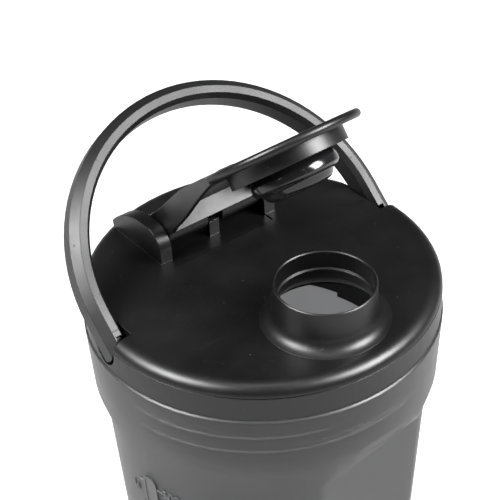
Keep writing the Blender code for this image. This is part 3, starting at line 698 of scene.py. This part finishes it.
class SHAKER_OT_seal(bpy.types.Operator):
    """Gives the seal under the lid its silicone skin"""
    bl_idname = "shaker.build_seal"
    bl_label = "Seal"

    def execute(self, context):
        piece = merged_copy("lid_seal", "seal_ring")
        smooth(piece)
        finish = seal_silicone(context.scene.shaker_colours.seal)
        dress(piece, finish, "seal", "seal_silicone", "lid_seal")
        return {"FINISHED"}


class SHAKER_OT_handle(bpy.types.Operator):
    """Builds the carry handle with its fine grained bevels"""
    bl_idname = "shaker.build_handle"
    bl_label = "Carry Handle"

    def execute(self, context):
        sizes, colours = context.scene.shaker_sizes, context.scene.shaker_colours
        piece = merged_copy("handle", "carry_handle")
        smooth(piece, 24)
        finish = moulded_black("grained_handle_plastic", colours.handle, *GRAINED_HANDLE,
                               sizes.edge_round, worn=3.2)
        dress(piece, finish, "handle", "handle_satin", "handle")
        return {"FINISHED"}


class SHAKER_OT_flip_cap(bpy.types.Operator):
    """Builds the flip cap, its arm and its hinge barrel"""
    bl_idname = "shaker.build_flip_cap"
    bl_label = "Flip Cap"

    def execute(self, context):
        piece = merged_copy("flip_cap", "cap_and_arm")
        smooth(piece)
        dress(piece, lid_black(context), "flip_cap", "black_satin", "flip_cap")
        return {"FINISHED"}


class SHAKER_OT_stopper(bpy.types.Operator):
    """Builds the soft stopper and the nub of flash at its parting line"""
    bl_idname = "shaker.build_stopper"
    bl_label = "Stopper"

    def execute(self, context):
        sizes, colours = context.scene.shaker_sizes, context.scene.shaker_colours
        finish = moulded_black("glossy_stopper_rubber", colours.stopper, *GLOSSY_STOPPER,
                               sizes.edge_round)
        piece = merged_copy("stopper", "soft_stopper")
        smooth(piece)
        dress(piece, finish, "flip_cap", "stopper_elastomer", "stopper")
        nub = raised_tablet("flash_nub", 1.3 * MM, 0.45 * MM, 0.2 * MM, 0.5 * MM)
        opened = Matrix.Translation(HINGE) @ Matrix.Rotation(-CAP_OPENING, 4, "X")
        out = Vector((math.cos(NUB_AZIMUTH), math.sin(NUB_AZIMUTH), 0))
        across = Vector((-math.sin(NUB_AZIMUTH), math.cos(NUB_AZIMUTH), 0))
        place = Matrix((across, Vector((0, 0, 1)), out)).transposed().to_4x4()
        place.translation = STOPPER_CENTRE + out * STOPPER_RADIUS
        nub.data.transform(opened @ place)
        smooth(nub, 40)
        dress(nub, finish, "flip_cap", "stopper_elastomer")
        return {"FINISHED"}


class SHAKER_OT_hinge_pin(bpy.types.Operator):
    """Builds the steel pin through the ears"""
    bl_idname = "shaker.build_hinge_pin"
    bl_label = "Hinge Pin"

    def execute(self, context):
        piece = merged_copy("hinge_pin", "pin")
        smooth(piece)
        dress(piece, steel(context), "lid", "pin_steel", "hinge_pin")
        return {"FINISHED"}


class SHAKER_OT_whisk(bpy.types.Operator):
    """Builds the wire whisk ball on the floor of the cup"""
    bl_idname = "shaker.build_whisk"
    bl_label = "Whisk Ball"

    def execute(self, context):
        piece = merged_copy("whisk_ball", "whisk_wire")
        only(piece)
        bpy.ops.object.shade_smooth()
        rounder = piece.modifiers.new("round wire", "SUBSURF")
        rounder.levels = rounder.render_levels = 1
        dress(piece, steel(context), "whisk", "whisk_steel", "whisk_ball")
        return {"FINISHED"}


class SHAKER_PT_panel(bpy.types.Panel):
    bl_label = "Shaker Bottle"
    bl_idname = "SHAKER_PT_panel"
    bl_space_type = "VIEW_3D"
    bl_region_type = "UI"
    bl_category = "Shaker Bottle"

    def draw(self, context):
        layout = self.layout
        for group in (context.scene.shaker_sizes, context.scene.shaker_colours):
            column = layout.column()
            for name in group.bl_rna.properties.keys():
                if name not in ("rna_type", "name"):
                    column.prop(group, name)
        for operator in OPERATORS:
            layout.operator(operator.bl_idname)


OPERATORS = (
    SHAKER_OT_stage, SHAKER_OT_cup, SHAKER_OT_volume_marks, SHAKER_OT_lid, SHAKER_OT_seal,
    SHAKER_OT_handle, SHAKER_OT_flip_cap, SHAKER_OT_stopper, SHAKER_OT_hinge_pin, SHAKER_OT_whisk,
)
CLASSES = (ShakerSizes, ShakerColours, *OPERATORS, SHAKER_PT_panel)


def register():
    for cls in CLASSES:
        bpy.utils.register_class(cls)
    bpy.types.Scene.shaker_sizes = bpy.props.PointerProperty(type=ShakerSizes)
    bpy.types.Scene.shaker_colours = bpy.props.PointerProperty(type=ShakerColours)


def unregister():
    del bpy.types.Scene.shaker_colours
    del bpy.types.Scene.shaker_sizes
    for cls in reversed(CLASSES):
        bpy.utils.unregister_class(cls)


def main():
    register()
    bpy.ops.shaker.build_stage()
    bpy.ops.shaker.build_cup()
    bpy.ops.shaker.build_volume_marks()
    bpy.ops.shaker.build_lid()
    bpy.ops.shaker.build_seal()
    bpy.ops.shaker.build_handle()
    bpy.ops.shaker.build_flip_cap()
    bpy.ops.shaker.build_stopper()
    bpy.ops.shaker.build_hinge_pin()
    bpy.ops.shaker.build_whisk()


if __name__ == "__main__":
    main()
